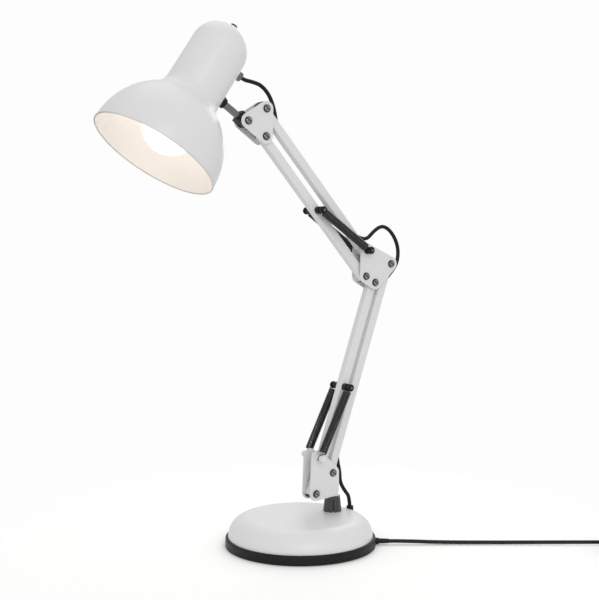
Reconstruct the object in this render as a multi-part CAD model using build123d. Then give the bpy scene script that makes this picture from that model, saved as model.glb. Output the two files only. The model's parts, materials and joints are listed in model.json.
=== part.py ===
from build123d import *
import os
from math import atan2, ceil, cos, degrees, dist, hypot, pi, radians, sin, sqrt, tan

# Balanced-arm desk lamp on a round weighted base.
# Millimetres and degrees, +Z up, origin at the middle of the base's underside.
# The arms lie in the XZ plane: the shade is towards -X, and the front plates face -Y.

# Base
rim_radius = 85.0
rim_height = 10.0
rim_lift = 0.6
rim_seat_width = 4.8
rim_edge_fillet = 2.0
rim_flange_width = 7.0
rim_flange_thickness = 2.0
dome_radius = 81.8
dome_height = 22.4
dome_edge_radius = 21.6
dome_wall = 1.6
pad_inset = 3.0
pad_thickness = 3.0
weight_thickness = 12.0
nut_thickness = 5.0
nut_across_flats = 18.0
nut_pocket_radius = 12.0

# Swivel collar, off the base's middle, and the foot's pin in it
swivel_x = 43.7
collar_height = 17.6
collar_bottom_radius = 10.6
collar_top_radius = 8.8
collar_flute_radius = 1.1
collar_flute_out = 0.5
collar_flute_sink = 1.0
collar_brim = 2.0
collar_flute_count = 12
collar_slot_width = 2.2
collar_slot_depth = 4.2
collar_slot_angle = -117.0
collar_slot_end = 3.0
collar_spigot_radius = 6.0
spacer_wall = 4.0
swivel_pin_radius = 3.5
swivel_pin_length = 13.0
swivel_gap = 0.3

# Arms: square tubes in pairs, with the lean from upright that the photograph shows
tube_size = 10.0
tube_wall = 1.0
tube_corner = 1.2
tube_inner_corner = 0.4
tube_overhang = 3.0
plug_cap = 3.0
head_plug_cap = 5.0
plug_corner = 3.0
plug_insert = 9.0
lower_length = 252.0
lower_lean = 19.0
upper_length = 203.8
upper_lean = 41.2
foot_pivot = (15.8, 57.3)
foot_link = (23.0, 21.5)
elbow_front = (-13.0, 7.4)
elbow_link = (0.7, 29.9)
head_reach = (-22.2, 15.5)

# Brackets of two plates
plate_thickness = 1.5
boss_radius = 8.2
washer_thickness = 2.1
washer_radius = 4.6
foot_corner_height = 60.0
foot_block_height = 13.0

# Pivot screws
screw_radius = 2.0
screw_head_radius = 4.4
screw_head_height = 2.4
screw_head_fillet = 2.2
nut_height = 3.2
screw_nut_flats = 7.0
screw_tip = 1.2
slot_width = 1.0
slot_depth = 1.0
slot_turn = 35.0

# Tension springs, their posts and spools
spring_plane = 14.0
spring_radius = 4.8
spring_wire = 1.2
spring_curls = 25
spring_end_run = 1.3
spring_end_turn = 5.5
post_place = (17.8, 98.5)
post_radius = 3.6
post_end = 20.4
groove_radius = 2.3
groove_width = 3.4
lower_spool_way = 125.6
upper_spool_way = 99.6
spool_radius = 4.2
spool_end = 18.8
rod_radius = 1.5
spool_fillet = 0.6

# Head: knuckle, stem and shade
shade_tilt = 33.9
stem_reach = 66.2
stem_radius = 4.0
stem_rise = 23.3
stem_head_radius = 6.2
stem_head_thickness = 2.0
stem_head_gap = 1.0
knuckle_radius = 6.6
knuckle_length = 10.0
knuckle_socket = 7.0
knuckle_flat = 0.3
knuckle_fillet = 1.5
bush_radius = 7.4
bush_tip_radius = 5.4
bush_length = 6.5
bush_sink = 1.0
sleeve_wall = 1.2
mouth_radius = 69.2
bowl_rise = 1.7
bowl_bulge = 0.5
bowl_height = 70.7
neck_radius = 31.3
neck_height = 66.8
neck_fillet = 22.0
crown_height = 28.7
shade_wall = 0.8
lip_radius = 0.75
lip_out = 0.3

# Light source and switch
bulb_radius = 30.0
bulb_length = 45.5
bulb_wall = 1.0
bulb_neck_radius = 12.5
bulb_shoulder_angle = 37.0
cap_show = 7.0
cap_radius = 13.0
cap_length = 27.0
cap_fillet = 4.0
cap_tip_radius = 4.5
cap_tip_length = 2.0
holder_radius = 19.0
holder_rise = 18.1
holder_length = 54.0
holder_ring_radius = 21.5
holder_ring_length = 9.0
switch_radius = 12.0
switch_neck_radius = 8.0
switch_bush_radius = 6.0
switch_bush_rise = 1.0
button_radius = 4.2
button_length = 16.0
button_rise = 4.5
button_travel = 2.5
button_fillet = 1.2

# Leads and mains cord
lead_radius = 2.2
lead_slot_width = 5.6
lead_slot_length = 24.0
lead_slot_way = 20.0
gland_rise = 58.8
gland_flats = 9.0
gland_length = 5.4
gland_spigot_radius = 3.3
gland_spigot_length = 5.0
grommet_place = (68.5, 0.0)
grommet_radius = 4.1
grommet_rise = 2.2
grommet_length = 9.0
cord_radius = 2.1
cord_angle = -33.0
cord_exit_height = 4.1
cord_gland_radius = 3.6
cord_gland_neck_radius = 2.9
cord_gland_tip_radius = 2.5
cord_knob_length = 4.0
cord_knob_fillet = 1.2
cord_gland_length = 15.0
cord_gland_flange_radius = 3.5
cord_level_run = 22.0
cord_drop_run = 40.0
cord_drop_side = 0.8
coil_radius = 28.8
coil_step = 5.5
coil_layer = 4.9
coil_layers = 4
coil_turns = 1.625
coil_way = 366.0
coil_lead_in = 40.0
climb_turns = 0.5
tie_width = 7.0
tie_wall = 0.9
tie_corner = 1.1
tie_angle = 200.0
tail_level_run = 12.0
tail_drop_run = 24.0
tail_plug_run = 22.0
plug_length = 36.0
plug_width = 34.0
plug_height = 13.6
plug_nose_width = 26.0
plug_tail_width = 9.0
plug_tail_height = 9.5
plug_waist = 14.4
plug_body_corner = 3.0
plug_tail_corner = 2.5
pin_radius = 2.0
pin_length = 19.0
pin_spacing = 18.6
pin_root = 4.0
pin_fillet = 1.4

# Clearances
running_fit = 0.05
loose_fit = 0.2
seat_gap = 0.3
floor_gap = 0.1

# Derived places in the arm plane, each (x, z)
lower_way = (sin(radians(lower_lean)), cos(radians(lower_lean)))
upper_way = (-sin(radians(upper_lean)), cos(radians(upper_lean)))


def along(start, way, distance, side=0.0):
    """The point at a distance from start along way, and off to its right by side."""
    return (start[0] + way[0] * distance + way[1] * side, start[1] + way[1] * distance - way[0] * side)


def plus(first, second):
    return (first[0] + second[0], first[1] + second[1])


pivot_foot_front = foot_pivot
pivot_foot_rear = plus(foot_pivot, foot_link)
pivot_elbow_low_front = along(pivot_foot_front, lower_way, lower_length)
pivot_elbow_low_rear = along(pivot_foot_rear, lower_way, lower_length)
pivot_elbow_up_front = plus(pivot_elbow_low_front, elbow_front)
pivot_elbow_up_rear = plus(pivot_elbow_up_front, elbow_link)
pivot_head_front = along(pivot_elbow_up_front, upper_way, upper_length)
pivot_head_rear = along(pivot_elbow_up_rear, upper_way, upper_length)
pivot_tilt = plus(pivot_head_front, head_reach)
spool_low = along(pivot_foot_front, lower_way, lower_spool_way)
spool_up = along(pivot_elbow_up_front, upper_way, upper_spool_way)

plate_inner = tube_size / 2 + washer_thickness + running_fit
plate_outer = plate_inner + plate_thickness
rim_top = rim_lift + rim_height
dome_top = rim_top + dome_height
collar_top = dome_top + collar_height
shade_axis = (sin(radians(shade_tilt)), cos(radians(shade_tilt)))
stem_axis = (shade_axis[1], -shade_axis[0])
stem_way = bowl_height + stem_rise
gland_way = bowl_height + gland_rise
holder_way = bowl_height + holder_rise
cap_low = holder_way - cap_show
bulb_way = cap_low - bulb_length
mouth_place = along(along(pivot_tilt, shade_axis, -stem_way), stem_axis, -stem_reach)
shade_frame = Plane(
    origin=(mouth_place[0], 0, mouth_place[1]),
    x_dir=(stem_axis[0], 0, stem_axis[1]),
    z_dir=(shade_axis[0], 0, shade_axis[1]),
)
crown_way = bowl_height + neck_height
apex_way = crown_way + crown_height
cord_way = (cos(radians(cord_angle)), sin(radians(cord_angle)))
cord_side = (-cord_way[1], cord_way[0])
cord_floor = cord_radius + floor_gap
coil_floor = cord_floor + tie_wall
seat_radius = min(rim_radius, dome_radius)
flange_radius = seat_radius - rim_seat_width
rim_wall = rim_radius - flange_radius
pad_radius = flange_radius - pad_inset

nodes = {}


def keep(name, *solids):
    """Keep one node: a solid, or several separate solids as one group."""
    whole = [solid for shape in solids for solid in shape.solids()]
    node = whole[0] if len(whole) == 1 else Compound(children=whole)
    node.label = name
    nodes[name] = node


def cross_pin(place, radius, start, end):
    """A round bar along Y, from y = start to y = end, through a point of the arm plane."""
    frame = Plane(origin=(place[0], start, place[1]), x_dir=(1, 0, 0), z_dir=(0, 1, 0))
    return extrude(frame * Circle(radius), amount=end - start)


def plate(places, holes, front):
    """A bracket plate round some places of the arm plane, with pivot holes."""
    outline = offset(make_face(Polyline(*places, close=True)), amount=boss_radius)
    for hole, radius in holes:
        outline -= Pos(*hole) * Circle(radius)
    body = extrude(Plane.XZ.offset(plate_inner) * outline, amount=plate_thickness)
    return body if front else mirror(body, about=Plane.XZ)


def revolved(profile):
    """A solid of revolution about Z from a closed outline drawn in XZ."""
    return revolve(Plane.XZ * make_face(profile), axis=Axis.Z)


def ring(outer, inner, low, high):
    return Pos(0, 0, low) * extrude(Circle(outer) - Circle(inner), amount=high - low)


# Swept tubes for cords, leads and springs

def biarc(start, start_way, end, end_way):
    """Two arcs that leave start along start_way and reach end along end_way."""
    chord = end - start
    ways = start_way + end_way
    bend = 1 - start_way.dot(end_way)
    if bend < 1e-9:
        reach = chord.dot(chord) / (4 * chord.dot(end_way))
    else:
        lean = chord.dot(ways)
        reach = (-lean + sqrt(lean * lean + 2 * bend * chord.dot(chord))) / (2 * bend)
    first = start + start_way * reach
    last = end - end_way * reach
    middle = (first + last) * 0.5
    turn = (last - first).normalized()
    return [TangentArc(start, middle, tangent=start_way), TangentArc(middle, end, tangent=turn)]


def least_gap(wire, radius, skip):
    """The least gap between a tube's own turns, measured on points along its middle line."""
    count = int(ceil(wire.length / (radius * 0.5)))
    points = [tuple(wire.position_at(i / count)) for i in range(count + 1)]
    step = wire.length / count
    apart = int(ceil(skip / step))
    nearest = min(dist(point, other) for i, point in enumerate(points) for other in points[i + apart:])
    return nearest - 2 * radius


def tube_along(wire, radius):
    """A round tube swept along a wire."""
    section = Plane(origin=wire.position_at(0), z_dir=wire.tangent_at(0)) * Circle(radius)
    return sweep(section, path=wire)


def cord_tube(name, points, radius):
    """A tube along straight runs joined by arcs as large as the runs allow."""
    places = [Vector(*point) for point in points]
    radii = []
    for before, here, after in zip(places, places[1:], places[2:]):
        turn = radians((here - before).get_angle(after - here))
        run = min((here - before).length, (after - here).length)
        radii.append(0.45 * run / tan(turn / 2))
    print(name, "radii", [round(value, 1) for value in radii])
    wire = Wire(FilletPolyline(*places, radius=radii).edges())
    body = tube_along(wire, radius)
    share = body.volume / (pi * radius ** 2 * wire.length)
    print(name, "length", round(wire.length, 1), "volume share", round(share, 4))
    return body


# Base: black rim, painted dome, cast weight, felt pad
shell = Pos(0, 0, rim_top) * extrude(Circle(dome_radius), amount=dome_height)
shell = fillet(shell.edges().group_by(Axis.Z)[-1], dome_edge_radius)
hollow = Pos(0, 0, rim_top) * extrude(Circle(dome_radius - dome_wall), amount=dome_height - dome_wall)
hollow = fillet(hollow.edges().group_by(Axis.Z)[-1], dome_edge_radius - dome_wall)
shell -= hollow
spigot_hole = Pos(swivel_x, 0, 0) * extrude(Circle(collar_spigot_radius + loose_fit), amount=dome_top + 1)
grommet_low = dome_top + grommet_rise - grommet_length
grommet_hole = Pos(*grommet_place, 0) * extrude(Circle(grommet_radius + running_fit), amount=dome_top + 1)
shell = shell - spigot_hole - grommet_hole
keep("base_shell", shell)

flange_low = pad_thickness + weight_thickness
inner_edge_radius = dome_edge_radius - dome_wall
flange_rise = max(flange_low + rim_flange_thickness - (dome_top - dome_edge_radius), 0)
inner_draw = inner_edge_radius - sqrt(inner_edge_radius ** 2 - flange_rise ** 2)
rim_inner = dome_radius - dome_wall - inner_draw - loose_fit
rim = revolved(
    Polyline(
        (rim_radius, rim_lift),
        (rim_radius, rim_top),
        (rim_inner, rim_top),
        (rim_inner, flange_low + rim_flange_thickness),
        (flange_radius - rim_flange_width, flange_low + rim_flange_thickness),
        (flange_radius - rim_flange_width, flange_low),
        (flange_radius, flange_low),
        (flange_radius, rim_lift),
        close=True,
    )
)
rim_outer_edge = rim.edges().filter_by(GeomType.CIRCLE).filter_by(lambda e: abs(e.radius - rim_radius) < 0.01)
rim = fillet(rim_outer_edge.group_by(Axis.Z)[-1], rim_edge_fillet)
cord_frame = Plane(
    origin=(cord_way[0] * flange_radius, cord_way[1] * flange_radius, cord_exit_height),
    x_dir=(cord_side[0], cord_side[1], 0),
    z_dir=(cord_way[0], cord_way[1], 0),
)
rim -= extrude(cord_frame.offset(-1) * Circle(cord_gland_flange_radius + running_fit), amount=rim_wall + 2)
keep("base_rim", rim)

keep("base_pad", extrude(Circle(pad_radius), amount=pad_thickness))

weight_radius = flange_radius - loose_fit
weight = Pos(0, 0, pad_thickness) * extrude(Circle(weight_radius), amount=weight_thickness)
nut_seat = pad_thickness + weight_thickness / 2
weight -= Pos(swivel_x, 0, 0) * extrude(Circle(nut_pocket_radius), amount=nut_seat)
weight -= spigot_hole
cord_slot = 2 * (cord_gland_radius + loose_fit)
slot_face = cord_frame.offset(-weight_radius / 3) * Rectangle(cord_slot, 4 * weight_thickness)
weight -= extrude(slot_face, amount=weight_radius)
keep("base_weight", weight)

spacer = Pos(swivel_x, 0, 0) * ring(
    collar_spigot_radius + spacer_wall, collar_spigot_radius + loose_fit, flange_low, dome_top - dome_wall
)
keep("base_spacer", spacer)

nut_low = nut_seat - nut_thickness
collar_nut = Pos(swivel_x, 0, nut_low) * extrude(
    RegularPolygon(nut_across_flats / 2, 6, major_radius=False) - Circle(collar_spigot_radius + running_fit),
    amount=nut_thickness,
)
keep("collar_nut", collar_nut)

# Fluted collar with its spigot through the dome, the spacer and the weight
collar = revolved(
    Polyline(
        (0, nut_low),
        (collar_spigot_radius, nut_low),
        (collar_spigot_radius, dome_top),
        (collar_bottom_radius, dome_top),
        (collar_top_radius, collar_top),
        (0, collar_top),
        close=True,
    )
)
collar_lean = degrees(atan2(collar_bottom_radius - collar_top_radius, collar_height))
flute_foot = Pos(collar_bottom_radius + collar_flute_out, 0, dome_top)
flute_foot *= Rot(0, -collar_lean, 0) * Pos(0, 0, -collar_flute_sink)
for i in range(collar_flute_count):
    flute = Rot(0, 0, i * 360 / collar_flute_count) * flute_foot
    collar -= flute * extrude(Circle(collar_flute_radius), amount=collar_height - collar_brim)
collar -= Pos(0, 0, collar_top - swivel_pin_length - seat_gap) * extrude(
    Circle(swivel_pin_radius + running_fit), amount=collar_height
)
slot_height = collar_height - collar_slot_end
slot_box = Pos(collar_top_radius, 0, dome_top + slot_height / 2) * Box(
    2 * collar_slot_depth, collar_slot_width, slot_height
)
collar -= Rot(0, 0, collar_slot_angle) * slot_box
keep("base_collar", Pos(swivel_x, 0, 0) * collar)

grommet = Pos(*grommet_place, grommet_low) * extrude(
    Circle(grommet_radius) - Circle(lead_radius + running_fit), amount=grommet_length
)
keep("lead_grommet", grommet)

# Foot bracket: two plates, a block with the swivel pin, spring posts
foot_places = [post_place, pivot_foot_rear, (pivot_foot_rear[0], foot_corner_height), pivot_foot_front]
foot_holes = [
    (pivot_foot_front, screw_radius + running_fit),
    (pivot_foot_rear, screw_radius + running_fit),
    (post_place, groove_radius + running_fit),
]
keep("foot_plate_front", plate(foot_places, foot_holes, True))
keep("foot_plate_rear", plate(foot_places, foot_holes, False))

block_low = collar_top + swivel_gap
block_right = pivot_foot_rear[0] + boss_radius
block_left = 2 * swivel_x - block_right - boss_radius / 2
block = Pos((block_left + block_right) / 2, 0, block_low + foot_block_height / 2) * Box(
    block_right - block_left, 2 * plate_inner, foot_block_height
)
pin = Pos(swivel_x, 0, collar_top - swivel_pin_length) * extrude(
    Circle(swivel_pin_radius), amount=swivel_pin_length + swivel_gap
)
keep("foot_stem", block + pin)


def grooved_post(place, radius, near, far):
    """A turned post along Y with a groove in the plane of the springs."""
    post = cross_pin(place, radius, near, far)
    low = spring_plane - groove_width / 2
    frame = Plane(origin=(place[0], low, place[1]), x_dir=(1, 0, 0), z_dir=(0, 1, 0))
    return post - extrude(frame * (Circle(radius + 1) - Circle(groove_radius)), amount=groove_width)


def both_sides(shape):
    return [shape, mirror(shape, about=Plane.XZ)]


post = grooved_post(post_place, post_radius, plate_outer, post_end)
post += cross_pin(post_place, groove_radius, plate_inner, plate_outer)
keep("foot_spring_posts", *both_sides(post))


def pivot_screw(place):
    """A slotted pan-head screw from the front, and its nut at the rear."""
    head = cross_pin(place, screw_head_radius, -plate_outer - screw_head_height, -plate_outer)
    head = fillet(head.edges().group_by(Axis.Y)[0], screw_head_fillet)
    shank = cross_pin(place, screw_radius, -plate_outer, plate_outer + nut_height + screw_tip)
    cut = Pos(place[0], -plate_outer - screw_head_height, place[1]) * Rot(0, slot_turn, 0)
    screw = head + shank - cut * Box(3 * screw_head_radius, 2 * slot_depth, slot_width)
    frame = Plane(origin=(place[0], plate_outer, place[1]), x_dir=(1, 0, 0), z_dir=(0, 1, 0))
    hexagon = RegularPolygon(screw_nut_flats / 2, 6, major_radius=False) - Circle(screw_radius + running_fit)
    return [screw, extrude(frame * hexagon, amount=nut_height)]


def fasteners(places):
    return [piece for place in places for piece in pivot_screw(place)]


keep("foot_fasteners", *fasteners([pivot_foot_front, pivot_foot_rear]))


# Arm tubes with black end plugs and washers at their pivots

def tube_frame(start, way):
    """A plane across a tube at a point of the arm plane: local x is Y, local z runs along the tube."""
    return Plane(origin=(start[0], 0, start[1]), x_dir=(0, 1, 0), z_dir=(way[0], 0, way[1]))


def arm_tube(start, way, length, slots, bore):
    """A square tube past both pivots, with pivot holes and lead slots in its outer side."""
    frame = tube_frame(start, way)
    section = RectangleRounded(tube_size, tube_size, tube_corner)
    hollow_size = tube_size - 2 * tube_wall
    section -= RectangleRounded(hollow_size, hollow_size, tube_inner_corner)
    body = extrude(frame.offset(-tube_overhang) * section, amount=length + 2 * tube_overhang)
    for place in (start, along(start, way, length)):
        body -= cross_pin(place, screw_radius + running_fit, -tube_size, tube_size)
    if bore is not None:
        body -= cross_pin(along(start, way, bore), rod_radius + running_fit, -tube_size, tube_size)
    for slot in slots:
        middle = along(start, way, slot, tube_size / 2)
        cutter = Box(lead_slot_width, tube_size - 2 * tube_wall, lead_slot_length)
        body -= tube_frame(middle, way) * cutter
    return body


def end_plug(place, way, cap_length):
    """A plug in a tube's end: an insert round the pivot and a cap with eased corners."""
    frame = tube_frame(place, way)
    inside = tube_size - 2 * tube_wall - 2 * running_fit
    insert_face = RectangleRounded(inside, inside, tube_inner_corner)
    insert = extrude(frame.offset(tube_overhang) * insert_face, amount=-plug_insert)
    cap = extrude(frame.offset(tube_overhang) * Rectangle(tube_size, tube_size), amount=cap_length)
    far = frame.offset(tube_overhang + cap_length).origin
    crown = cap.edges().filter_by(Axis.Y).sort_by_distance(far)[0:2]
    cap = fillet(crown, min(plug_corner, cap_length - 0.1))
    return insert + cap - cross_pin(place, screw_radius + running_fit, -tube_size, tube_size)


def pivot_washers(place):
    frame = Plane(origin=(place[0], tube_size / 2, place[1]), x_dir=(1, 0, 0), z_dir=(0, 1, 0))
    washer = extrude(
        frame * (Circle(washer_radius) - Circle(screw_radius + running_fit)), amount=washer_thickness
    )
    return both_sides(washer)


def keep_arm(name, start, way, length, slots, far_cap, bore=None):
    end = along(start, way, length)
    back = (-way[0], -way[1])
    keep(name + "_tube", arm_tube(start, way, length, slots, bore))
    keep(name + "_plugs", end_plug(start, back, plug_cap), end_plug(end, way, far_cap))
    keep(name + "_washers", *pivot_washers(start), *pivot_washers(end))


keep_arm("lower_front", pivot_foot_front, lower_way, lower_length, [], plug_cap, lower_spool_way)
lower_slots = [lead_slot_way, lower_length - lead_slot_way]
keep_arm("lower_rear", pivot_foot_rear, lower_way, lower_length, lower_slots, plug_cap)
keep_arm("upper_front", pivot_elbow_up_front, upper_way, upper_length, [], head_plug_cap, upper_spool_way)
upper_slots = [lead_slot_way, upper_length - lead_slot_way]
keep_arm("upper_rear", pivot_elbow_up_rear, upper_way, upper_length, upper_slots, head_plug_cap)


# Elbow and head brackets
elbow_places = [pivot_elbow_up_rear, pivot_elbow_low_rear, pivot_elbow_low_front, pivot_elbow_up_front]
elbow_holes = [(place, screw_radius + running_fit) for place in elbow_places]
keep("elbow_plate_front", plate(elbow_places, elbow_holes, True))
keep("elbow_plate_rear", plate(elbow_places, elbow_holes, False))
keep("elbow_fasteners", *fasteners(elbow_places[1:]))
head_places = [pivot_tilt, pivot_head_rear, pivot_head_front]
head_holes = [(place, screw_radius + running_fit) for place in head_places]
keep("head_plate_front", plate(head_places, head_holes, True))
keep("head_plate_rear", plate(head_places, head_holes, False))
keep("head_fasteners", *fasteners(head_places))


# Spool rods and spools

def spools(place, near, bore):
    """A pair of black spools, one each side, grooved in the plane of the springs."""
    spool = grooved_post(place, spool_radius, near, spool_end)
    spool -= cross_pin(place, bore + running_fit, 0, spool_end + 1)
    rounds = spool.edges().filter_by(GeomType.CIRCLE)
    flanks = [edge for edge in rounds if abs(edge.radius - spool_radius) < 0.01]
    return both_sides(fillet(flanks, spool_fillet))


rod_end = spool_end + screw_tip
keep("lower_spool_rod", cross_pin(spool_low, rod_radius, -rod_end, rod_end))
keep("upper_spool_rod", cross_pin(spool_up, rod_radius, -rod_end, rod_end))
elbow_rod = cross_pin(pivot_elbow_up_rear, screw_radius, -plate_outer, plate_outer)
elbow_rod += cross_pin(pivot_elbow_up_rear, rod_radius, -rod_end, rod_end)
keep("elbow_rod", elbow_rod)
keep("lower_spools", *spools(spool_low, tube_size / 2 + seat_gap, rod_radius))
keep("upper_spools", *spools(spool_up, tube_size / 2 + seat_gap, rod_radius))
keep("elbow_spools", *spools(pivot_elbow_up_rear, plate_outer + seat_gap, rod_radius))


# Tension springs: one wire each, hooked straight onto the grooves

def spring(name, low, high):
    """A tension spring between two grooved posts, in the front springs' plane."""
    span = hypot(high[0] - low[0], high[1] - low[1])
    way = ((high[0] - low[0]) / span, (high[1] - low[1]) / span)
    frame = Plane(origin=(low[0], -spring_plane, low[1]), x_dir=(0, 1, 0), z_dir=(way[0], 0, way[1]))
    coil_radius_mid = spring_radius - spring_wire / 2
    end_way = groove_radius + running_fit + spring_end_run
    coil_low = end_way + spring_end_turn
    coil_length = span - 2 * coil_low
    pitch = coil_length / spring_curls
    rise = pitch / (2 * pi)

    def coil_point(turn):
        angle = 2 * pi * turn
        return Vector(coil_radius_mid * cos(angle), coil_radius_mid * sin(angle), coil_low + pitch * turn)

    def coil_way(turn):
        angle = 2 * pi * turn
        return Vector(-coil_radius_mid * sin(angle), coil_radius_mid * cos(angle), rise).normalized()

    up = Vector(0, 0, 1)
    start = Vector(0, 0, groove_radius + running_fit)
    leave = Vector(0, 0, end_way)
    meet = Vector(0, 0, span - end_way)
    end = Vector(0, 0, span - groove_radius - running_fit)
    edges = [Line(start, leave)]
    edges += biarc(leave, up, coil_point(0), coil_way(0))
    half_turns = 2 * spring_curls
    for i in range(half_turns):
        first = i / 2
        last = (i + 1) / 2
        edges += biarc(coil_point(first), coil_way(first), coil_point(last), coil_way(last))
    edges += biarc(coil_point(spring_curls), coil_way(spring_curls), meet, up)
    edges.append(Line(meet, end))
    wire = Wire([edge for line in edges for edge in line.edges()])
    gap = least_gap(wire, spring_wire / 2, coil_radius_mid * pi)
    print(name, "length", round(span, 1), "least gap", round(gap, 2))
    coil = frame * tube_along(wire, spring_wire / 2)
    keep(name + "_front", coil)
    keep(name + "_rear", mirror(coil, about=Plane.XZ))


spring("lower_spring", post_place, spool_low)
spring("upper_spring", pivot_elbow_up_rear, spool_up)

# Knuckle and stem, in the shade's frame: x along the stem away from the shade
knuckle_middle = Pos(stem_reach, 0, stem_way)
knuckle_width = 2 * (plate_inner - seat_gap)
barrel = knuckle_middle * Rot(90, 0, 0) * Cylinder(knuckle_radius, knuckle_width)
arm_start = stem_reach - knuckle_length
arm_height = 2 * (knuckle_radius - knuckle_flat)
arm_box = Pos((arm_start + stem_reach) / 2, 0, stem_way) * Box(knuckle_length, knuckle_width, arm_height)
arm_box = fillet(arm_box.edges().filter_by(Axis.X), knuckle_fillet)
knuckle = barrel + arm_box
knuckle -= knuckle_middle * Rot(90, 0, 0) * Cylinder(screw_radius + running_fit, 2 * knuckle_width)


def stem_bar(radius, start, end):
    """A round bar along the stem's axis, between two distances from the shade's axis."""
    return Pos((start + end) / 2, 0, stem_way) * Rot(0, 90, 0) * Cylinder(radius, end - start)


stem_end = arm_start + knuckle_socket
knuckle -= stem_bar(stem_radius + running_fit, arm_start, stem_end)
keep("knuckle_block", shade_frame * knuckle)

stem_head_out = neck_radius - shade_wall - stem_head_gap
stem_head_in = stem_head_out - stem_head_thickness
stem = stem_bar(stem_radius, stem_head_in, stem_end) + stem_bar(stem_head_radius, stem_head_in, stem_head_out)
keep("knuckle_stem", shade_frame * stem)

bush_start = neck_radius - bush_sink
bush_cone = Cone(bush_radius, bush_tip_radius, bush_length)
bush = Pos(bush_start + bush_length / 2, 0, stem_way) * Rot(0, 90, 0) * bush_cone
bush -= extrude(Circle(neck_radius + running_fit), amount=2 * stem_way)
bush += stem_bar(stem_radius + sleeve_wall, stem_head_out + seat_gap, neck_radius + bush_sink)
bush -= stem_bar(stem_radius + running_fit, 0, 2 * neck_radius)
keep("shade_bush", shade_frame * bush)


# Shade: bell, straight neck and crown in one spun shell

def bell_outline(inset):
    """The shade's outline from its mouth to its crown, drawn inwards by inset."""
    wide = mouth_radius + bowl_bulge - inset
    neck = neck_radius - inset
    share = sqrt(1 - ((neck_radius) / (mouth_radius + bowl_bulge)) ** 2)
    tall = (bowl_height - bowl_rise) / share - inset
    start = degrees(atan2(-bowl_rise / tall, sqrt(1 - (bowl_rise / tall) ** 2)))
    end = degrees(atan2(sqrt(1 - (neck / wide) ** 2), neck / wide))
    bowl = EllipticalCenterArc((0, bowl_rise), wide, tall, start_angle=start, arc_size=end - start)
    crown = EllipticalCenterArc((0, crown_way), neck, crown_height - inset, start_angle=0, arc_size=90)
    side = Line(bowl @ 1, crown @ 0)
    axis = Line(crown @ 1, (0, 0))
    mouth = Line((0, 0), bowl @ 0)
    return [bowl, side, crown, axis, mouth]


def spun(lines):
    face = make_face([edge for line in lines for edge in line.edges()])
    return revolve(Plane.XZ * face, axis=Axis.Z)


def bell(inset):
    """The shade's body as a solid, drawn inwards by inset, with a hollow curve between bowl and neck."""
    body = spun(bell_outline(inset))
    rounds = body.edges().filter_by(GeomType.CIRCLE)
    corner = [edge for edge in rounds if 0 < edge.center().Z < stem_way]
    return fillet(corner, neck_fillet + inset)


shade = bell(0) - bell(shade_wall)
stem_bore = stem_bar(stem_radius + sleeve_wall + running_fit, stem_head_out, neck_radius + bush_sink)
gland_frame = Plane(origin=(neck_radius + running_fit, 0, gland_way), x_dir=(0, 1, 0), z_dir=(1, 0, 0))
gland_bore = extrude(gland_frame * Circle(gland_spigot_radius + running_fit), amount=-gland_spigot_length)
switch_bore = Pos(0, 0, apex_way) * Cylinder(switch_bush_radius + running_fit, 8 * shade_wall)
shade = shade - stem_bore - gland_bore - switch_bore
lip = Pos(0, 0, lip_radius) * Torus(mouth_radius + lip_out, lip_radius)
keep("shade_shell", shade_frame * (shade + lip))

gland = extrude(gland_frame * RegularPolygon(gland_flats / 2, 6, major_radius=False), amount=gland_length)
gland += extrude(gland_frame * Circle(gland_spigot_radius), amount=-gland_spigot_length)
gland_bottom = gland_frame.offset(-gland_spigot_length)
gland -= extrude(gland_bottom * Circle(lead_radius + seat_gap), amount=gland_spigot_length + gland_length)
keep("lead_gland", shade_frame * gland)

# Lampholder, bulb and push switch on the shade's axis
cap_high = cap_low + cap_length
holder_high = holder_way + holder_length
holder = ring(holder_radius, cap_radius + seat_gap, holder_way, cap_high + cap_tip_length)
holder += Pos(0, 0, cap_high + cap_tip_length) * extrude(
    Circle(holder_radius), amount=holder_high - cap_high - cap_tip_length
)
holder += ring(holder_ring_radius, cap_radius + seat_gap, holder_way, holder_way + holder_ring_length)
keep("lampholder", shade_frame * holder)


def bulb_outline(inset):
    """The bulb's outline from its tip to its cap, drawn inwards by inset."""
    globe = bulb_radius - inset
    neck = bulb_neck_radius - inset
    shoulder_angle = radians(bulb_shoulder_angle)
    shoulder = (globe * cos(shoulder_angle), bulb_way + globe * sin(shoulder_angle))
    flank = Spline(
        (neck, cap_low),
        shoulder,
        tangents=[(0, -1), (sin(shoulder_angle), -cos(shoulder_angle))],
    )
    ball = ThreePointArc(shoulder, (globe, bulb_way), (0, bulb_way - globe))
    return [Line((0, bulb_way - globe), (0, cap_low)), Line((0, cap_low), (neck, cap_low)), flank, ball]


keep("bulb_glass", shade_frame * (spun(bulb_outline(0)) - spun(bulb_outline(bulb_wall))))
cap = Pos(0, 0, cap_low) * extrude(Circle(cap_radius), amount=cap_length)
cap = fillet(cap.edges().group_by(Axis.Z)[-1], cap_fillet)
cap += Pos(0, 0, cap_high) * extrude(Circle(cap_tip_radius), amount=cap_tip_length)
keep("bulb_cap", shade_frame * cap)

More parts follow.
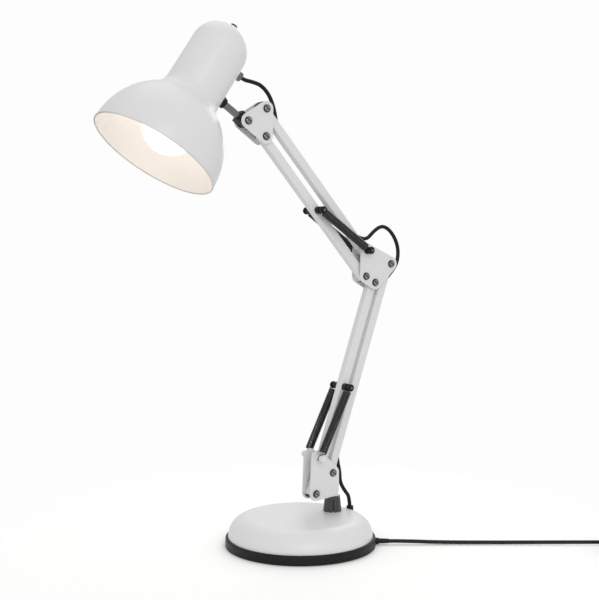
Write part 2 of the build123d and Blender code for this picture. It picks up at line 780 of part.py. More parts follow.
crown_inside = (crown_height - shade_wall) * sqrt(1 - (switch_neck_radius / (neck_radius - shade_wall)) ** 2)
switch_shoulder = crown_way + crown_inside - seat_gap
switch_mid = crown_way + crown_inside * 0.7
switch_high = apex_way + switch_bush_rise
switch = Pos(0, 0, holder_high) * extrude(Circle(switch_radius), amount=switch_mid - holder_high)
switch += Pos(0, 0, switch_mid) * extrude(Circle(switch_neck_radius), amount=switch_shoulder - switch_mid)
switch_bush = extrude(Circle(switch_bush_radius), amount=switch_high - switch_shoulder)
switch += Pos(0, 0, switch_shoulder) * switch_bush
button_high = apex_way + button_rise
button_low = button_high - button_length
switch -= Pos(0, 0, button_low - button_travel - seat_gap) * extrude(
    Circle(button_radius + running_fit), amount=button_length + 2 * button_travel
)
keep("switch_body", shade_frame * switch)
button = Pos(0, 0, button_low) * extrude(Circle(button_radius), amount=button_length)
keep("switch_button", shade_frame * fillet(button.edges().group_by(Axis.Z)[-1], button_fillet))


# Leads, in the arm plane: out of the neck, through the rear tubes and into the base

def in_plane(points):
    return [(x, 0, z) for x, z in points]


def shade_point(out, up):
    return along(along(mouth_place, shade_axis, up), stem_axis, out)


upper_back = (-upper_way[0], -upper_way[1])
lower_back = (-lower_way[0], -lower_way[1])
upper_middle = along(pivot_elbow_up_rear, upper_way, upper_length / 2)
lower_middle = along(pivot_foot_rear, lower_way, lower_length / 2)
lead_turn = 34.0
head_route = [
    shade_point(neck_radius - gland_spigot_length, gland_way),
    shade_point(neck_radius + gland_length + 3.0, gland_way),
    (-63.0, 514.9),
    (-51.5, 512.4),
    (-42.5, 504.8),
    (-37.0, 495.0),
    (-33.6, 484.5),
    along(pivot_head_rear, upper_back, 22.0, -3.5),
    along(pivot_head_rear, upper_back, lead_turn + 6.0),
    upper_middle,
]
elbow_route = [
    upper_middle,
    along(pivot_elbow_up_rear, upper_way, 30.0),
    along(pivot_elbow_up_rear, upper_way, 17.0, 4.6),
    (91.0, 345.0),
    (102.0, 355.5),
    (113.0, 361.8),
    (123.0, 358.4),
    (132.0, 349.0),
    (137.4, 337.0),
    (137.8, 325.0),
    (134.0, 313.5),
    along(pivot_elbow_low_rear, lower_back, 17.0, -4.6),
    along(pivot_elbow_low_rear, lower_back, lead_turn),
    lower_middle,
]
foot_route = [
    lower_middle,
    along(pivot_foot_rear, lower_way, lead_turn),
    along(pivot_foot_rear, lower_way, 16.0, 6.5),
    (54.0, 77.0),
    (54.2, 65.5),
    (60.5, 54.5),
    (grommet_place[0], 45.5),
    (grommet_place[0], grommet_low),
]
for name, route in (("head_lead", head_route), ("elbow_lead", elbow_route), ("foot_lead", foot_route)):
    keep(name, cord_tube(name, in_plane(route), lead_radius))


# Mains cord along the desk to the right, the put-away coil, its tie and the plug

def on_desk(way, side, height):
    """A point at a distance along the cord's way from the base's middle, and off to its side."""
    return (cord_way[0] * way + cord_side[0] * side, cord_way[1] * way + cord_side[1] * side, height)


exit_way = rim_radius + cord_gland_length
cord_gland = extrude(cord_frame * Circle(cord_gland_flange_radius), amount=rim_wall)
rim_face = cord_frame.offset(rim_wall)
knob_face = rim_face.offset(cord_knob_length)
knob = extrude(rim_face * Circle(cord_gland_radius), amount=cord_knob_length)
knob = fillet(knob.edges().filter_by(GeomType.CIRCLE).sort_by_distance(knob_face.origin)[0], cord_knob_fillet)
cone = loft(
    [
        knob_face * Circle(cord_gland_neck_radius),
        rim_face.offset(cord_gland_length) * Circle(cord_gland_tip_radius),
    ]
)
cord_gland = cord_gland + knob + cone
cord_bore = cord_frame.offset(-1) * Circle(cord_radius + running_fit)
cord_gland -= extrude(cord_bore, amount=rim_wall + cord_gland_length + 2)
keep("cord_gland", cord_gland)

cord_route = [
    on_desk(flange_radius, 0, cord_exit_height),
    on_desk(exit_way + cord_level_run, 0, cord_exit_height),
    on_desk(exit_way + cord_level_run + cord_drop_run, cord_drop_side, cord_floor),
    on_desk(coil_way - coil_lead_in, 0, coil_floor),
    on_desk(coil_way, 0, coil_floor),
]
desk_stretch = cord_tube("mains_cord", cord_route, cord_radius)

coil_frame = Plane(
    origin=on_desk(coil_way, -coil_radius, coil_floor),
    x_dir=(cord_side[0], cord_side[1], 0),
    z_dir=(0, 0, 1),
)
coil_inner = coil_radius - coil_step * coil_turns


def coil_state(turn):
    """Radius and height of the coil's middle line after so many turns."""
    lap = coil_turns + climb_turns
    layer = min(int(turn / lap + 1e-9), coil_layers - 1)
    into = turn - layer * lap
    wound = min(into, coil_turns)
    climbed = max(into - coil_turns, 0) / climb_turns
    inwards = layer % 2 == 0
    radius = coil_radius - coil_step * wound if inwards else coil_inner + coil_step * wound
    return radius, coil_layer * (layer + climbed)


def coil_point(turn):
    radius, height = coil_state(turn)
    angle = -2 * pi * turn
    return Vector(radius * cos(angle), radius * sin(angle), height)


def coil_way_at(turn):
    step = 1e-5
    return (coil_point(turn + step) - coil_point(max(turn - step, 0))).normalized()


coil_total = coil_layers * coil_turns + (coil_layers - 1) * climb_turns
joints_at = [0.0]
for layer in range(coil_layers):
    first = layer * (coil_turns + climb_turns)
    steps = int(ceil(coil_turns / 0.25))
    joints_at += [first + coil_turns * (i + 1) / steps for i in range(steps)]
    if layer < coil_layers - 1:
        joints_at += [first + coil_turns + climb_turns / 2, first + coil_turns + climb_turns]
coil_edges = []
tail_way = Vector(0, -1, 0)
for first, last in zip(joints_at, joints_at[1:]):
    start_way = tail_way if first == 0 else coil_way_at(first)
    end_way = tail_way if last == joints_at[-1] else coil_way_at(last)
    coil_edges += biarc(coil_point(first), start_way, coil_point(last), end_way)
coil_end = coil_point(coil_total)
tail_run = 2 * cord_radius
coil_edges.append(Line(coil_end, coil_end + tail_way * tail_run))
coil_wire = Wire([edge for line in coil_edges for edge in line.edges()])
print("mains_cord_coil length", round(coil_wire.length, 1))
print("mains_cord_coil least gap", round(least_gap(coil_wire, cord_radius, 3 * coil_radius), 2))
keep("mains_cord_coil", coil_frame * tube_along(coil_wire, cord_radius))

plug_floor = plug_height / 2 + floor_gap
tail_way_start = coil_way + tail_run
plug_way = tail_way_start + tail_level_run + tail_drop_run + tail_plug_run
tail_height = coil_floor + coil_layer * (coil_layers - 1)
tail_route = [
    on_desk(tail_way_start, 0, tail_height),
    on_desk(tail_way_start + tail_level_run, 0, tail_height),
    on_desk(plug_way - tail_plug_run, 0, plug_floor),
    on_desk(plug_way, 0, plug_floor),
]
keep("mains_cord", desk_stretch, cord_tube("mains_cord to the plug", tail_route, cord_radius))

plug_frame = Plane(
    origin=on_desk(plug_way, 0, plug_floor),
    x_dir=(cord_side[0], cord_side[1], 0),
    z_dir=(cord_way[0], cord_way[1], 0),
)
plug_shape = loft(
    [
        plug_frame * RectangleRounded(plug_tail_width, plug_tail_height, plug_tail_corner),
        plug_frame.offset(plug_waist) * RectangleRounded(plug_width, plug_height, plug_body_corner),
        plug_frame.offset(plug_length) * RectangleRounded(plug_nose_width, plug_height, plug_body_corner),
    ],
    ruled=True,
)
pins = []
for side in (-1, 1):
    pin_place = plug_frame.offset(plug_length - pin_root) * Pos(side * pin_spacing / 2, 0)
    plug_shape -= extrude(pin_place * Circle(pin_radius + running_fit), amount=pin_root)
    pin_bar = extrude(pin_place * Circle(pin_radius), amount=pin_length + pin_root)
    tip = pin_bar.edges().filter_by(GeomType.CIRCLE).sort_by_distance(plug_frame.origin)[-1]
    pins.append(fillet(tip, pin_fillet))
keep("plug_body", plug_shape)
keep("plug_pins", *pins)

# The tie: a flat band round one side of the coil
tie_inner = Vector(coil_inner - cord_radius - seat_gap, -cord_radius - floor_gap / 2)
coil_height = coil_layer * (coil_layers - 1)
tie_outer = Vector(coil_radius + cord_radius + seat_gap, coil_height + cord_radius + seat_gap)
tie_size = tie_outer - tie_inner
tie_middle = tie_inner + tie_size * 0.5
tie_section = RectangleRounded(tie_size.X + 2 * tie_wall, tie_size.Y + 2 * tie_wall, tie_corner + tie_wall)
tie_section -= RectangleRounded(tie_size.X, tie_size.Y, tie_corner)
tie = Rot(90, 0, 0) * Pos(tie_middle.X, tie_middle.Y, -tie_width / 2) * extrude(tie_section, amount=tie_width)
keep("cord_tie", coil_frame.location * Rot(0, 0, tie_angle) * tie)

os.makedirs("parts", exist_ok=True)
for name, node in nodes.items():
    export_step(node, f"parts/{name}.step")
print(len(nodes), "nodes")
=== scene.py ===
import json
from math import cos, hypot, pi, radians, sin

import bmesh
import bpy
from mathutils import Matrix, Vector


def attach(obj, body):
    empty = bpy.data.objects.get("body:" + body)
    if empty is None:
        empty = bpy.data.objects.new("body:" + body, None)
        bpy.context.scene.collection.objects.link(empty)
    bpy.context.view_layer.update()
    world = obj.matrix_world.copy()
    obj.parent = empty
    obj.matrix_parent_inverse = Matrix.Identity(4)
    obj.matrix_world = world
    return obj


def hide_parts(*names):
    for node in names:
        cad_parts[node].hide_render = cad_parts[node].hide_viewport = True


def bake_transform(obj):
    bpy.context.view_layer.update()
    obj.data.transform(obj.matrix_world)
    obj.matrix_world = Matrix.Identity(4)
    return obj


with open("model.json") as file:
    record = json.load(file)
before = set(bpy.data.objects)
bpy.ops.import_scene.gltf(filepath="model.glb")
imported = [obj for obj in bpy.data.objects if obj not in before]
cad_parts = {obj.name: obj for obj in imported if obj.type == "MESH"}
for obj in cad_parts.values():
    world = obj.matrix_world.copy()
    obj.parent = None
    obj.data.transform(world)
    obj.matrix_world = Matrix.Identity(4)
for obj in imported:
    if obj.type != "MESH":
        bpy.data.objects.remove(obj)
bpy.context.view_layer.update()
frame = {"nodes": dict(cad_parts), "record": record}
nodes = frame["nodes"]
scene = bpy.context.scene
scene.view_settings.view_transform = "Standard"
MM = 0.001


# Camera, at the photograph's viewing angle

camera = bpy.data.objects.new("camera", bpy.data.cameras.new("camera"))
heading = radians(32.61)
pitch = radians(2.77)
look = Vector((sin(heading) * cos(pitch), cos(heading) * cos(pitch), -sin(pitch)))
camera.location = Vector((-643.3, -1003.5, 335.0)) * MM
camera.rotation_euler = look.to_track_quat("-Z", "Y").to_euler()
camera.data.sensor_width = 36.0
camera.data.lens = 63.84
scene.collection.objects.link(camera)
scene.camera = camera


# Places of the arm plane, in millimetres, as the solid model has them

LOWER_LEAN = radians(19.0)
UPPER_LEAN = radians(41.2)
SHADE_LEAN = radians(33.9)
LOWER_LENGTH = 252.0
UPPER_LENGTH = 203.8
LOWER_SPOOL_WAY = 125.6
UPPER_SPOOL_WAY = 99.6
PIVOT_ABOVE_MOUTH = 94.0
PIVOT_OUT = 66.2


def along(start, way, distance, side=0.0):
    """The point at a distance from start along way, and off to its right by side."""
    return (start[0] + way[0] * distance + way[1] * side, start[1] + way[1] * distance - way[0] * side)


def beside(start, x, z):
    """The point at an offset from start."""
    return (start[0] + x, start[1] + z)


lower_way = (sin(LOWER_LEAN), cos(LOWER_LEAN))
upper_way = (-sin(UPPER_LEAN), cos(UPPER_LEAN))
lower_back = (-lower_way[0], -lower_way[1])
upper_back = (-upper_way[0], -upper_way[1])
foot_front = (15.8, 57.3)
foot_rear = (38.8, 78.8)
elbow_low_rear = along(foot_rear, lower_way, LOWER_LENGTH)
elbow_up_front = beside(along(foot_front, lower_way, LOWER_LENGTH), -13.0, 7.4)
elbow_up_rear = beside(elbow_up_front, 0.7, 29.9)
head_rear = along(elbow_up_rear, upper_way, UPPER_LENGTH)
head_front = along(elbow_up_front, upper_way, UPPER_LENGTH)
tilt_pivot = beside(head_front, -22.2, 15.5)
shade_axis = (sin(SHADE_LEAN), cos(SHADE_LEAN))
stem_axis = (shade_axis[1], -shade_axis[0])
mouth = along(along(tilt_pivot, shade_axis, -PIVOT_ABOVE_MOUTH), stem_axis, -PIVOT_OUT)
spring_post = (17.8, 98.5)
spool_low = along(foot_front, lower_way, LOWER_SPOOL_WAY)
spool_up = along(elbow_up_front, upper_way, UPPER_SPOOL_WAY)
upper_middle = along(elbow_up_rear, upper_way, UPPER_LENGTH / 2)
lower_middle = along(foot_rear, lower_way, LOWER_LENGTH / 2)


def shade_point(out, up):
    """The point this far up the shade's axis from its mouth, and out from the axis."""
    return along(along(mouth, shade_axis, up), stem_axis, out)


# Curves and tubes

def nurbs_curve(name, points):
    """A smooth open curve with these control points, in millimetres."""
    data = bpy.data.curves.new(name, "CURVE")
    data.dimensions = "3D"
    spline = data.splines.new("NURBS")
    spline.points.add(len(points) - 1)
    for control, point in zip(spline.points, points):
        control.co = (point[0] * MM, point[1] * MM, point[2] * MM, 1.0)
    spline.order_u = 3
    spline.use_endpoint_u = True
    curve = bpy.data.objects.new(name, data)
    scene.collection.objects.link(curve)
    return curve


def line_points(name, points, steps):
    """Points along the smooth curve of some control points, in metres."""
    curve = nurbs_curve(name, points)
    curve.data.resolution_u = steps
    bpy.context.view_layer.update()
    mesh = bpy.data.meshes.new_from_object(curve.evaluated_get(bpy.context.evaluated_depsgraph_get()))
    line = [vertex.co.copy() for vertex in mesh.vertices]
    bpy.data.meshes.remove(mesh)
    data = curve.data
    bpy.data.objects.remove(curve)
    bpy.data.curves.remove(data)
    return line


def mesh_object(name, bm):
    """Turn a bmesh into an object with smooth faces."""
    bmesh.ops.recalc_face_normals(bm, faces=bm.faces)
    for face in bm.faces:
        face.smooth = True
    data = bpy.data.meshes.new(name)
    bm.to_mesh(data)
    bm.free()
    piece = bpy.data.objects.new(name, data)
    scene.collection.objects.link(piece)
    return piece


def tube(name, line, radius, sides=20):
    """A round tube along a line of points, in metres."""
    bm = bmesh.new()
    across = Vector((0.0, 1.0, 0.0))
    rings = []
    for i, point in enumerate(line):
        ahead = (line[min(i + 1, len(line) - 1)] - line[max(i - 1, 0)]).normalized()
        across = (across - ahead * across.dot(ahead)).normalized()
        other = ahead.cross(across)
        turns = [2 * pi * k / sides for k in range(sides)]
        rings.append([bm.verts.new(point + (across * cos(a) + other * sin(a)) * radius) for a in turns])
    for first, second in zip(rings, rings[1:]):
        for k in range(sides):
            bm.faces.new((first[k], first[(k + 1) % sides], second[(k + 1) % sides], second[k]))
    bm.faces.new(rings[0])
    bm.faces.new(rings[-1])
    return mesh_object(name, bm)


# Mains cord: level out of its gland, down to the desk, into the put-away coil and to the plug

cord_turn = radians(-33.0)
cord_way = (cos(cord_turn), sin(cord_turn))
cord_side = (-cord_way[1], cord_way[0])


def on_desk(way, side, height):
    """A place on the desk: along the cord's way from the middle of the base, to its side, and up."""
    return (cord_way[0] * way + cord_side[0] * side, cord_way[1] * way + cord_side[1] * side, height)


CORD_RADIUS = 2.1
CORD_STEPS = 6
COIL_RADIUS = 28.8
COIL_STEP = 5.5
COIL_LAYER = 4.9
COIL_LAYERS = 4
COIL_TURNS = 1.625
COIL_CLIMB = 0.5
COIL_WAY = 366.0
COIL_FLOOR = 3.1
COIL_PER_TURN = 24


def coil_point(turn):
    """A point of the coil's line after so many turns: in and out by turns, and up between layers."""
    lap = COIL_TURNS + COIL_CLIMB
    layer = min(int(turn / lap + 1e-9), COIL_LAYERS - 1)
    wound = min(turn - layer * lap, COIL_TURNS)
    climbed = max(turn - layer * lap - COIL_TURNS, 0.0) / COIL_CLIMB
    inner = COIL_RADIUS - COIL_STEP * COIL_TURNS
    radius = COIL_RADIUS - COIL_STEP * wound if layer % 2 == 0 else inner + COIL_STEP * wound
    angle = -2 * pi * turn
    way = COIL_WAY - radius * sin(angle)
    return on_desk(way, radius * cos(angle) - COIL_RADIUS, COIL_FLOOR + COIL_LAYER * (layer + climbed))


cord_route = [
    on_desk(86.0, 0, 4.1),
    on_desk(122.0, 0, 4.1),
    on_desk(162.0, 0.8, 2.2),
    on_desk(326.0, 0, 3.1),
]
coil_total = COIL_LAYERS * COIL_TURNS + (COIL_LAYERS - 1) * COIL_CLIMB
coil_steps = int(COIL_PER_TURN * coil_total)
cord_route += [coil_point(coil_total * i / coil_steps) for i in range(coil_steps + 1)]
cord_route += [
    on_desk(370.2, 0, 17.8),
    on_desk(382.2, 0, 17.8),
    on_desk(406.2, 0, 6.9),
    on_desk(430.2, 0, 6.9),
]
cord_line = line_points("mains_flex", cord_route, CORD_STEPS)
mains_cord = tube("mains_flex", cord_line, CORD_RADIUS * MM)
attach(mains_cord, "base")
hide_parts("mains_cord", "mains_cord_coil")


# Leads: each runs between bodies that turn against each other, so it is cut where one body holds it.
# The stretch inside a tube rides that tube alone.

head_route = [
    shade_point(26.3, 129.5),
    shade_point(39.7, 129.5),
    (-63.0, 514.9),
    (-51.5, 512.4),
    (-42.5, 504.8),
    (-37.0, 495.0),
    (-33.6, 484.5),
    along(head_rear, upper_back, 22.0, -3.5),
    along(head_rear, upper_back, 40.0),
    upper_middle,
]
elbow_route = [
    upper_middle,
    along(elbow_up_rear, upper_way, 30.0),
    along(elbow_up_rear, upper_way, 17.0, 4.6),
    (91.0, 345.0),
    (102.0, 355.5),
    (113.0, 361.8),
    (123.0, 358.4),
    (132.0, 349.0),
    (137.4, 337.0),
    (137.8, 325.0),
    (134.0, 313.5),
    along(elbow_low_rear, lower_back, 17.0, -4.6),
    along(elbow_low_rear, lower_back, 34.0),
    lower_middle,
]
foot_route = [
    lower_middle,
    along(foot_rear, lower_way, 34.0),
    along(foot_rear, lower_way, 16.0, 6.5),
    (54.0, 77.0),
    (54.2, 65.5),
    (60.5, 54.5),
    (68.5, 45.5),
    (68.5, 26.2),
]
LEAD_RADIUS = 2.2 * MM
LEAD_STEPS = 10
leads = []


def lay_lead(name, route, cuts, bodies):
    """Build one lead as tubes between neighbouring bodies, parted at its points nearest to the cuts."""
    line = line_points(name, [(x, 0.0, z) for x, z in route], LEAD_STEPS)
    places = [0]
    for x, z in cuts:
        place = Vector((x * MM, 0.0, z * MM))
        places.append(min(range(len(line)), key=lambda i: (line[i] - place).length))
    places.append(len(line) - 1)
    for i, (first, second) in enumerate(zip(bodies, bodies[1:])):
        part = line[places[i]:places[i + 1] + 1]
        piece = tube(f"{name}_{i + 1}", part, LEAD_RADIUS)
        if first == second:
            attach(piece, first)
        else:
            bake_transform(piece)
        leads.append(piece)
    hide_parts(name)


lay_lead(
    "head_lead",
    head_route,
    [(-56.5, 513.6), (-35.4, 490.6), along(head_rear, upper_back, 34.5, -1.2)],
    ["shade", "knuckle", "head_bracket", "upper_rear_arm", "upper_rear_arm"],
)
lay_lead(
    "elbow_lead",
    elbow_route,
    [
        along(elbow_up_rear, upper_way, 25.5, 1.8),
        (113.0, 361.0),
        along(elbow_low_rear, lower_back, 28.0, -1.8),
    ],
    ["upper_rear_arm", "upper_rear_arm", "elbow", "lower_rear_arm", "lower_rear_arm"],
)
lay_lead(
    "foot_lead",
    foot_route,
    [along(foot_rear, lower_way, 32.0, 1.8), (54.6, 67.0)],
    ["lower_rear_arm", "lower_rear_arm", "foot_bracket", "base"],
)


# Tension springs: close-wound wire with a hook round each groove.
# A spring is a coil from one end and a cuff from the other.
# The cuff's narrower core slides in the coil as the arm folds.

WIRE = 1.0
COIL_WIDTH = 9.6
GROOVE = 2.3
SPRING_PLANE = 14.0
POST_RUN = 7.0
SPOOL_RUN = 5.0
CUFF = 9.0
PITCH = 1.1
PER_TURN = 16
WIRE_STEPS = 2
WIRE_SIDES = 8
OUTER = COIL_WIDTH / 2 - WIRE / 2
CORE_ROOM = 0.1
INNER = OUTER - WIRE - CORE_ROOM
HOOK_ROOM = 0.12
HOOK_POINTS = 15
HOOK_START = 50.0
HOOK_SWEEP = 260.0
FIRST_TURN = 0.08
LOWER_SLIDE = 24.0
UPPER_SLIDE = 34.0
springs = []


def hook_and_coil(run, wide_length, core_length):
    """Control points of a hook round the origin, then a wide coil and a narrow core along one axis."""
    loop = GROOVE + WIRE / 2 + HOOK_ROOM
    points = []
    for i in range(HOOK_POINTS):
        turn = radians(HOOK_START + HOOK_SWEEP * i / (HOOK_POINTS - 1))
        points.append((loop * cos(turn), loop * sin(turn), 0.0))
    # The hook's shank crosses the axis and swings out to the coil, in shares of the run and the radius.
    points += [(0.62 * run, -1.2, 0.0), (0.68 * run, 0.0, 0.0)]
    points += [(0.76 * run, 0.37 * OUTER, 0.0), (0.88 * run, 0.75 * OUTER, 0.1 * OUTER)]
    # The curve runs inside its control points, so they stand out by this much.
    swell = 1 / (0.75 + 0.25 * cos(2 * pi / PER_TURN))
    count = int((wide_length + core_length) / PITCH * PER_TURN)
    for i in range(count + 1):
        turn = 2 * pi * (i / PER_TURN + FIRST_TURN)
        way = PITCH * i / PER_TURN
        narrowed = min(max((way - wide_length) / PITCH, 0.0), 1.0)
        radius = (OUTER + (INNER - OUTER) * narrowed) * swell
        points.append((run + way, radius * cos(turn), radius * sin(turn)))
    return points


def spring_half(name, start, end, y, body, run, wide_length, core_length=0.0):
    """One end of a spring: hooked at start, and running towards end in the plane at y."""
    span = hypot(end[0] - start[0], end[1] - start[1])
    way = Vector(((end[0] - start[0]) / span, 0.0, (end[1] - start[1]) / span))
    side = Vector((way.z, 0.0, -way.x))
    up = Vector((0.0, 1.0, 0.0)) if y > 0 else Vector((0.0, -1.0, 0.0))
    origin = Vector((start[0], y, start[1]))
    shape = hook_and_coil(run, wide_length, core_length)
    points = [origin + way * a + side * b + up * c for a, b, c in shape]
    piece = tube(name, line_points(name, points, WIRE_STEPS), WIRE / 2 * MM, WIRE_SIDES)
    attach(piece, body)
    springs.append(piece)
    return piece


def spring(name, start, end, slide):
    """A pair of springs, one each side of the arm: the coil hooks at start, and the cuff at end."""
    span = hypot(end[0] - start[0], end[1] - start[1])
    coil_length = span - POST_RUN - SPOOL_RUN - CUFF
    spool_body = name.replace("spring", "spool") + "_pair"
    for side, y in (("front", -SPRING_PLANE), ("rear", SPRING_PLANE)):
        coil = spring_half(f"{name}_coil_{side}", start, end, y, name + "_pair", POST_RUN, coil_length)
        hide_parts(f"{name}_{side}")
        spring_half(f"{name}_core_{side}", end, start, y, spool_body, SPOOL_RUN, CUFF, slide)


spring("lower_spring", spring_post, spool_low, LOWER_SLIDE)
spring("upper_spring", elbow_up_rear, spool_up, UPPER_SLIDE)


# Materials, with their sizes in millimetres

GRAIN_DEPTH = 0.1
# The middle range of a noise, which the gloss follows
NOISE_LOW = 0.3
NOISE_HIGH = 0.7
# Grey line on the shade's lip: its heights above the mouth, its ends along Y and the share of enamel colour
# there
LIP_GREY_END = 0.6
LIP_ENAMEL_START = 1.3
LIP_FRONT = -45.0
LIP_REAR = 20.0
ENAMEL_FRONT = 0.88
ENAMEL_REAR = 0.3
# Rims and crowns of the screw heads along Y, between which the painted highlight fades in
HEAD_RIM = -10.3
HEAD_CROWN = -11.0


def colour(code):
    """A linear colour from an sRGB hex code."""
    parts = [int(code[i:i + 2], 16) / 255 for i in (1, 3, 5)]
    linear = [part / 12.92 if part <= 0.04045 else ((part + 0.055) / 1.055) ** 2.4 for part in parts]
    return linear + [1.0]


def add_node(tree, kind, links=(), **values):
    """Add a shader node, set its sockets by name and link (output, socket) pairs into it."""
    node = tree.nodes.new(kind)
    for key, value in values.items():
        name = key.replace("_", " ")
        if name in node.inputs:
            node.inputs[name].default_value = value
        else:
            setattr(node, key, value)
    for output, socket in links:
        tree.links.new(output, node.inputs[socket])
    return node


def surface(name, low, high, patch, rough, grain, depth, metal=0.0, specular=0.5):
    """A procedural finish, sized in millimetres: two close tones in patches, uneven gloss, fine grain."""
    material = bpy.data.materials.new(name)
    material.use_nodes = True
    tree = material.node_tree
    shader = tree.nodes["Principled BSDF"]
    shader.inputs["Metallic"].default_value = metal
    shader.inputs["Specular IOR Level"].default_value = specular
    place = add_node(tree, "ShaderNodeTexCoord").outputs["Object"]
    patches = add_node(tree, "ShaderNodeTexNoise", [(place, "Vector")], Scale=1 / (patch * MM), Detail=3.0)
    tones = add_node(tree, "ShaderNodeMix", [(patches.outputs["Fac"], "Factor")], data_type="RGBA")
    tones.inputs[6].default_value = colour(low)
    tones.inputs[7].default_value = colour(high)
    tree.links.new(tones.outputs[2], shader.inputs["Base Color"])
    gloss = add_node(
        tree,
        "ShaderNodeMapRange",
        [(patches.outputs["Fac"], "Value")],
        From_Min=NOISE_LOW,
        From_Max=NOISE_HIGH,
        To_Min=rough[0],
        To_Max=rough[1],
    )
    tree.links.new(gloss.outputs["Result"], shader.inputs["Roughness"])
    fine = add_node(tree, "ShaderNodeTexNoise", [(place, "Vector")], Scale=1 / (grain * MM), Detail=2.0)
    height = fine.outputs["Fac"]
    bump = add_node(tree, "ShaderNodeBump", [(height, "Height")], Strength=depth, Distance=GRAIN_DEPTH * MM)
    tree.links.new(bump.outputs["Normal"], shader.inputs["Normal"])
    return material


# Satin white powder coat with a faint orange peel
white_paint = surface("white_powder_coat", "#d3d3d3", "#d8d8d8", 30.0, (0.34, 0.44), 1.4, 0.25)
# The shade's enamel is a little smoother, and is darkened to grey on the mouth's rolled edge, most at its
# rear
shade_paint = surface("shade_enamel", "#d4d4d4", "#d9d9d9", 40.0, (0.32, 0.40), 1.6, 0.18)
tree = shade_paint.node_tree
place = add_node(tree, "ShaderNodeTexCoord").outputs["Object"]
height = add_node(tree, "ShaderNodeVectorMath", [(place, 0)], operation="DOT_PRODUCT")
height.inputs[1].default_value = (shade_axis[0], 0.0, shade_axis[1])
mouth_height = (mouth[0] * shade_axis[0] + mouth[1] * shade_axis[1]) * MM
across = add_node(tree, "ShaderNodeSeparateXYZ", [(place, "Vector")])
front = add_node(
    tree,
    "ShaderNodeMapRange",
    [(across.outputs["Y"], "Value")],
    interpolation_type="SMOOTHSTEP",
    From_Min=LIP_FRONT * MM,
    From_Max=LIP_REAR * MM,
    To_Min=ENAMEL_FRONT,
    To_Max=ENAMEL_REAR,
)
edge = add_node(
    tree,
    "ShaderNodeMapRange",
    [(height.outputs["Value"], "Value"), (front.outputs["Result"], "To Min")],
    interpolation_type="SMOOTHSTEP",
    From_Min=mouth_height + LIP_GREY_END * MM,
    From_Max=mouth_height + LIP_ENAMEL_START * MM,
)
enamel = tree.nodes["Principled BSDF"].inputs["Base Color"].links[0].from_socket
# The enamel is darkened to grey on the lip, most towards +Y
lip_grey = add_node(tree, "ShaderNodeMix", [(edge.outputs["Result"], "Factor")], data_type="RGBA")
lip_grey.inputs[6].default_value = colour("#8f8680")
tree.links.new(enamel, lip_grey.inputs[7])
tree.links.new(lip_grey.outputs[2], tree.nodes["Principled BSDF"].inputs["Base Color"])
# Moulded black plastic with a fine spark-eroded grain
black_plastic = surface(
    "black_moulded_plastic", "#0b0b0c", "#111112", 6.0, (0.42, 0.55), 0.5, 0.35, specular=0.25
)
# Dark grey glossy plastic of the collar and the button
grey_plastic = surface(
    "grey_moulded_plastic", "#2a2b29", "#343533", 5.0, (0.14, 0.22), 0.5, 0.2, specular=0.7
)
# Bright zinc of the shade's gland nut: pale metal with soft reflections
bright_zinc = surface("bright_zinc_plate", "#6b6866", "#84817e", 1.2, (0.24, 0.38), 0.3, 0.3, metal=1.0)
# Dark zinc on the screws, with a painted highlight on the crowns of the heads that face -Y
dark_zinc = surface("dark_zinc_plate_painted_highlight", "#2f2d2d", "#403d3d", 1.2, (0.24, 0.36), 0.3, 0.3, metal=1.0)
tree = dark_zinc.node_tree
place = add_node(tree, "ShaderNodeTexCoord").outputs["Object"]
depth = add_node(tree, "ShaderNodeSeparateXYZ", [(place, "Vector")])
highlight_mask = add_node(
    tree,
    "ShaderNodeMapRange",
    [(depth.outputs["Y"], "Value")],
    interpolation_type="SMOOTHSTEP",
    From_Min=HEAD_RIM * MM,
    From_Max=HEAD_CROWN * MM,
)
dark = tree.nodes["Principled BSDF"].inputs["Base Color"].links[0].from_socket
# Painted highlight: the crowns of the screw heads on the -Y side are coloured lighter
painted_highlight = add_node(tree, "ShaderNodeMix", [(highlight_mask.outputs["Result"], "Factor")], data_type="RGBA")
tree.links.new(dark, painted_highlight.inputs[6])
painted_highlight.inputs[7].default_value = colour("#8c8583")
tree.links.new(painted_highlight.outputs[2], tree.nodes["Principled BSDF"].inputs["Base Color"])
# Blackened and oiled spring wire: dark, with a sharp shine
spring_wire = surface(
    "oiled_spring_wire", "#0c0c0d", "#161617", 2.0, (0.1, 0.18), 0.4, 0.15, specular=0.7
)
# Turned steel of the stem, the rods and the spacer: mid-grey metal with fine tool marks
turned_steel = surface("turned_steel", "#6c6a68", "#878583", 0.8, (0.22, 0.34), 0.25, 0.3, metal=1.0)
# Raw iron casting of the weight: dark, rough and dull
cast_iron = surface("raw_cast_iron", "#3a3836", "#4b4844", 8.0, (0.65, 0.8), 1.2, 1.0, metal=0.6)
# Black felt of the pad, with a fine nap and no shine
felt = surface("black_felt", "#141414", "#242424", 1.5, (0.9, 1.0), 0.35, 1.0, specular=0.1)
# Soft black PVC of the cord and the leads, almost matt
cord_pvc = surface("soft_black_pvc", "#0c0c0d", "#131314", 4.0, (0.38, 0.52), 0.6, 0.2, specular=0.25)
# Rolled aluminium of the bulb's cap: pale metal with a soft shine
cap_metal = surface("cap_aluminium", "#b9b9b9", "#cfcfcf", 3.0, (0.25, 0.4), 0.4, 0.2, metal=1.0)
# Natural nylon of the washers, the lampholder and the switch body: off-white and waxy
nylon = surface("natural_nylon", "#cfcdc6", "#dddbd4", 4.0, (0.4, 0.5), 0.6, 0.2)
# Nickel on the plug's pins: bright and slightly warm
pin_metal = surface("nickel_plate", "#b5b0a8", "#c9c4bc", 3.0, (0.2, 0.32), 0.4, 0.15, metal=1.0)
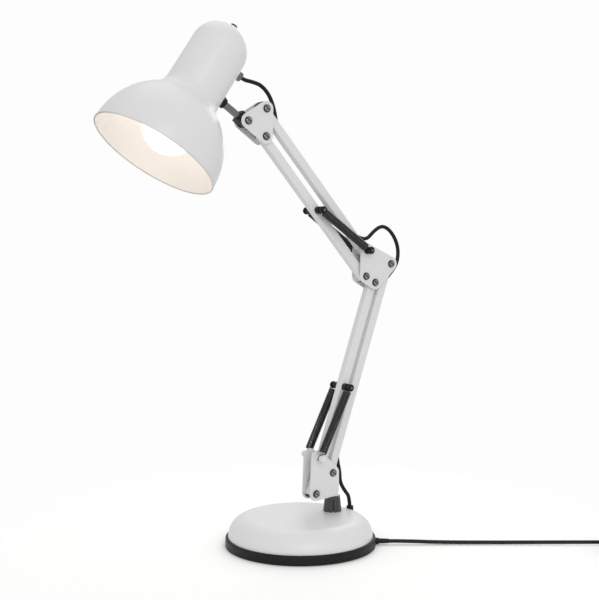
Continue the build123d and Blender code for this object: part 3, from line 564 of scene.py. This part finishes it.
# Opal glass of the lit bulb, which glows an even warm white
opal_glass = surface("lit_opal_glass", "#fbf8f2", "#fffdf8", 20.0, (0.18, 0.24), 2.0, 0.05)
lit = opal_glass.node_tree.nodes["Principled BSDF"]
lit.inputs["Emission Color"].default_value = colour("#ffedda")
lit.inputs["Emission Strength"].default_value = 2.6

finishes = {
    "white_paint": white_paint,
    "shade_paint": shade_paint,
    "black_plastic": black_plastic,
    "grey_plastic": grey_plastic,
    "dark_zinc": dark_zinc,
    "spring_steel": spring_wire,
    "bright_steel": turned_steel,
    "cast_iron": cast_iron,
    "felt": felt,
    "cord_pvc": cord_pvc,
    "cap_metal": cap_metal,
    "nylon": nylon,
    "pin_metal": pin_metal,
    "opal_glass": opal_glass,
}


def dress(piece, material):
    """Give a piece one material all over."""
    piece.data.materials.clear()
    piece.data.materials.append(material)


for part in frame["record"]["subparts"]:
    dress(nodes[part["node"]], finishes[part["material_slot"]])
dress(nodes["lead_gland"], bright_zinc)
dress(mains_cord, cord_pvc)
for piece in leads:
    dress(piece, cord_pvc)
for piece in springs:
    dress(piece, spring_wire)


# Studio, in metres: pale floor that fades into the white surround, and soft lights

FLOOR_HALF = 1.6
FLOOR_DROP = 0.0002
FADE_START = 0.12
FADE_END = 0.5

bm = bmesh.new()
bmesh.ops.create_grid(bm, x_segments=8, y_segments=8, size=FLOOR_HALF)
floor = mesh_object("floor", bm)
floor.location.z = -FLOOR_DROP
floor_paint = surface("floor_paper", "#fbfbfa", "#fdfdfc", 300.0, (0.85, 0.95), 3.0, 0.02, specular=0.1)
tree = floor_paint.node_tree
place = add_node(tree, "ShaderNodeTexCoord").outputs["Object"]
reach = add_node(tree, "ShaderNodeVectorMath", [(place, 0)], operation="LENGTH")
fade = add_node(
    tree,
    "ShaderNodeMapRange",
    [(reach.outputs["Value"], "Value")],
    interpolation_type="SMOOTHSTEP",
    From_Min=FADE_START,
    From_Max=FADE_END,
    To_Min=1.0,
    To_Max=0.0,
)
tree.links.new(fade.outputs["Result"], tree.nodes["Principled BSDF"].inputs["Alpha"])
dress(floor, floor_paint)

world = bpy.data.worlds.new("studio")
scene.world = world
world.use_nodes = True
tree = world.node_tree
tree.nodes.clear()
rays = add_node(tree, "ShaderNodeLightPath")
straight = [(rays.outputs["Is Camera Ray"], 0), (rays.outputs["Is Transmission Ray"], 1)]
seen = add_node(tree, "ShaderNodeMath", straight, operation="MAXIMUM")
soft = add_node(tree, "ShaderNodeBackground", Strength=0.78)
soft.inputs["Color"].default_value = colour("#ffffff")
bright = add_node(tree, "ShaderNodeBackground", Strength=1.0)
bright.inputs["Color"].default_value = colour("#fdfdfd")
mixed = add_node(tree, "ShaderNodeMixShader", [(seen.outputs[0], "Fac")])
tree.links.new(soft.outputs[0], mixed.inputs[1])
tree.links.new(bright.outputs[0], mixed.inputs[2])
add_node(tree, "ShaderNodeOutputWorld", [(mixed.outputs[0], "Surface")])


def area_light(name, place, target, size, power):
    """A soft square lamp at place, aimed at target, in metres."""
    data = bpy.data.lights.new(name, "AREA")
    data.size = size
    data.energy = power
    light = bpy.data.objects.new(name, data)
    light.location = place
    light.rotation_euler = (Vector(target) - Vector(place)).to_track_quat("-Z", "Y").to_euler()
    scene.collection.objects.link(light)


area_light("key_softbox", (-0.75, -2.25, 1.15), (0.0, 0.0, 0.3), 1.3, 16.5)
area_light("top_softbox", (0.4, 0.6, 2.1), (0.0, 0.0, 0.1), 1.6, 5.0)
area_light("back_softbox", (0.6, 0.6, 0.75), (0.0, 0.0, 0.03), 0.6, 2.2)
